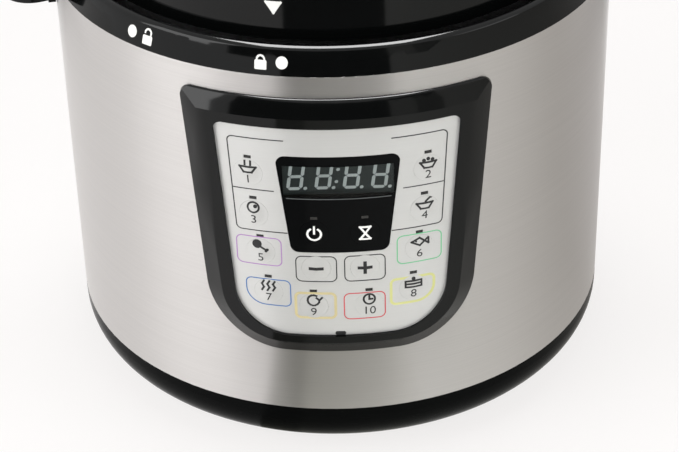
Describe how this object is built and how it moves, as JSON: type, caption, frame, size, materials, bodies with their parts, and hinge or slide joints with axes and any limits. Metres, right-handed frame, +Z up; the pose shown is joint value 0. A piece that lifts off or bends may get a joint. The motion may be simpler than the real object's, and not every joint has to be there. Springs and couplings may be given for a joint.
{
  "type": "electric pressure cooker",
  "caption": "Round electric pressure cooker with a brushed steel body, twist-lock lid, inner pot, heater, steam valve and a curved front panel of keys under a digital display.",
  "frame": {"origin": "on the floor under the body's vertical axis, midway between the feet", "axes": "+Z up along the body's axis, +X to the user's right, front panel towards -Y"},
  "size_m": [0.324, 0.3096, 0.298],
  "materials": {
    "black_gloss_plastic": "polished moulding",
    "black_matte_plastic": "fine texture",
    "clear_plastic": "clear moulding",
    "brushed_steel": "brushed around the body",
    "stamped_steel": "satin",
    "fastener_steel": "zinc plated",
    "aluminium": "spun and cast",
    "brass": "machined",
    "float_metal": "turned",
    "black_rubber": "matte",
    "silicone": "translucent white",
    "heater_tube": "dark oxide",
    "glass_fibre": "felt",
    "circuit_board": "solder mask",
    "component_plastic": "moulded",
    "silver_face": "silver film",
    "dark_lens": "smoked",
    "display_module": "epoxy face",
    "light_bar": "smoked",
    "silver_key": "silver film",
    "dark_key": "smoked film"
  },
  "bodies": {
    "base": {"base_screws": "fastener_steel", "base_shell": "black_gloss_plastic", "board_screws": "fastener_steel", "control_board": "circuit_board", "cup_bracket": "black_matte_plastic", "display_window": "dark_lens", "elastic_plate": "stamped_steel", "handle_screws": "fastener_steel", "heater_element": "heater_tube", "heating_plate": "aluminium", "indicator_lights": "light_bar", "inlet_pins": "brass", "inner_pot": "aluminium", "insulation_band": "glass_fibre", "led_display": "display_module", "left_handle": "black_gloss_plastic", "outer_pot": "aluminium", "panel_frame": "black_gloss_plastic", "panel_overlay": "silver_face", "power_board": "circuit_board", "power_inlet": "black_matte_plastic", "power_relay": "component_plastic", "power_transformer": "component_plastic", "pressure_switch": "black_matte_plastic", "right_handle": "black_gloss_plastic", "rubber_feet": "black_rubber", "sensor_spring": "stamped_steel", "steel_wall": "brushed_steel", "support_posts": "stamped_steel", "switch_domes": "fastener_steel", "top_ring": "black_gloss_plastic"},
    "temperature_probe": {"sensor_probe": "aluminium"},
    "condensation_cup": {"condensation_cup": "clear_plastic"},
    "seal": {"sealing_ring": "silicone"},
    "lid": {"lid_plate": "stamped_steel", "lid_cover": "black_gloss_plastic", "lid_screws": "fastener_steel", "lid_handle": "black_gloss_plastic", "lid_handle_screws": "fastener_steel", "steam_pipe": "brass", "pipe_nut": "brass", "filter_shield": "stamped_steel", "seal_rack": "stamped_steel"},
    "steam_valve": {"steam_valve_knob": "black_gloss_plastic"},
    "float_valve": {"float_pin": "float_metal", "float_seal": "silicone"},
    "soup_key": {"soup_key": "silver_key"},
    "rice_key": {"rice_key": "silver_key"},
    "meat_key": {"meat_key": "silver_key"},
    "porridge_key": {"porridge_key": "silver_key"},
    "chicken_key": {"chicken_key": "silver_key"},
    "fish_key": {"fish_key": "silver_key"},
    "steam_key": {"steam_key": "silver_key"},
    "cake_key": {"cake_key": "silver_key"},
    "reheat_key": {"reheat_key": "silver_key"},
    "slow_cook_key": {"slow_cook_key": "silver_key"},
    "minus_key": {"minus_key": "silver_key"},
    "plus_key": {"plus_key": "silver_key"},
    "cancel_key": {"cancel_key": "dark_key"},
    "timer_key": {"timer_key": "dark_key"}
  },
  "joints": [
    {"name": "lid_lift", "type": "slide", "parent": "base", "child": "seal", "axis": [0, 0, 1], "range_m": [0, 0.16]},
    {"name": "lid_turn", "type": "hinge", "parent": "seal", "child": "lid", "pos_m": [0, 0, 0.23], "axis": [0, 0, -1], "range_deg": [0, 32]},
    {"name": "steam_valve_turn", "type": "hinge", "parent": "lid", "child": "steam_valve", "pos_m": [0, 0.066, 0.28], "axis": [0, 0, 1], "range_deg": [0, 60]},
    {"name": "float_valve_rise", "type": "slide", "parent": "lid", "child": "float_valve", "axis": [0, 0, 1], "range_m": [0, 0.004]},
    {"name": "probe_press", "type": "slide", "parent": "base", "child": "temperature_probe", "axis": [0, 0, 1], "range_m": [-0.002, 0], "stiffness_N_per_m": 300, "springref_m": 0.003, "deforming": ["sensor_spring"]},
    {"name": "condensation_cup_lift", "type": "slide", "parent": "base", "child": "condensation_cup", "axis": [0, 0, 1], "range_m": [0, 0.06]},
    {"name": "soup_key_press", "type": "slide", "parent": "base", "child": "soup_key", "axis": [0.289, 0.9573, 0], "range_m": [0, 0.0005], "stiffness_N_per_m": 2000, "springref_m": -0.0003},
    {"name": "rice_key_press", "type": "slide", "parent": "base", "child": "rice_key", "axis": [-0.289, 0.9573, 0], "range_m": [0, 0.0005], "stiffness_N_per_m": 2000, "springref_m": -0.0003},
    {"name": "meat_key_press", "type": "slide", "parent": "base", "child": "meat_key", "axis": [0.2773, 0.9608, 0], "range_m": [0, 0.0005], "stiffness_N_per_m": 2000, "springref_m": -0.0003},
    {"name": "porridge_key_press", "type": "slide", "parent": "base", "child": "porridge_key", "axis": [-0.2773, 0.9608, 0], "range_m": [0, 0.0005], "stiffness_N_per_m": 2000, "springref_m": -0.0003},
    {"name": "chicken_key_press", "type": "slide", "parent": "base", "child": "chicken_key", "axis": [0.2605, 0.9655, 0], "range_m": [0, 0.0005], "stiffness_N_per_m": 2000, "springref_m": -0.0003},
    {"name": "fish_key_press", "type": "slide", "parent": "base", "child": "fish_key", "axis": [-0.2605, 0.9655, 0], "range_m": [0, 0.0005], "stiffness_N_per_m": 2000, "springref_m": -0.0003},
    {"name": "steam_key_press", "type": "slide", "parent": "base", "child": "steam_key", "axis": [0.2402, 0.9707, 0], "range_m": [0, 0.0005], "stiffness_N_per_m": 2000, "springref_m": -0.0003},
    {"name": "cake_key_press", "type": "slide", "parent": "base", "child": "cake_key", "axis": [-0.2402, 0.9707, 0], "range_m": [0, 0.0005], "stiffness_N_per_m": 2000, "springref_m": -0.0003},
    {"name": "reheat_key_press", "type": "slide", "parent": "base", "child": "reheat_key", "axis": [0.0924, 0.9957, 0], "range_m": [0, 0.0005], "stiffness_N_per_m": 2000, "springref_m": -0.0003},
    {"name": "slow_cook_key_press", "type": "slide", "parent": "base", "child": "slow_cook_key", "axis": [-0.0924, 0.9957, 0], "range_m": [0, 0.0005], "stiffness_N_per_m": 2000, "springref_m": -0.0003},
    {"name": "minus_key_press", "type": "slide", "parent": "base", "child": "minus_key", "axis": [0.0802, 0.9968, 0], "range_m": [0, 0.0005], "stiffness_N_per_m": 2000, "springref_m": -0.0003},
    {"name": "plus_key_press", "type": "slide", "parent": "base", "child": "plus_key", "axis": [-0.0802, 0.9968, 0], "range_m": [0, 0.0005], "stiffness_N_per_m": 2000, "springref_m": -0.0003},
    {"name": "cancel_key_press", "type": "slide", "parent": "base", "child": "cancel_key", "axis": [0.0828, 0.9966, 0], "range_m": [0, 0.0005], "stiffness_N_per_m": 2000, "springref_m": -0.0003},
    {"name": "timer_key_press", "type": "slide", "parent": "base", "child": "timer_key", "axis": [-0.0828, 0.9966, 0], "range_m": [0, 0.0005], "stiffness_N_per_m": 2000, "springref_m": -0.0003}
  ]
}
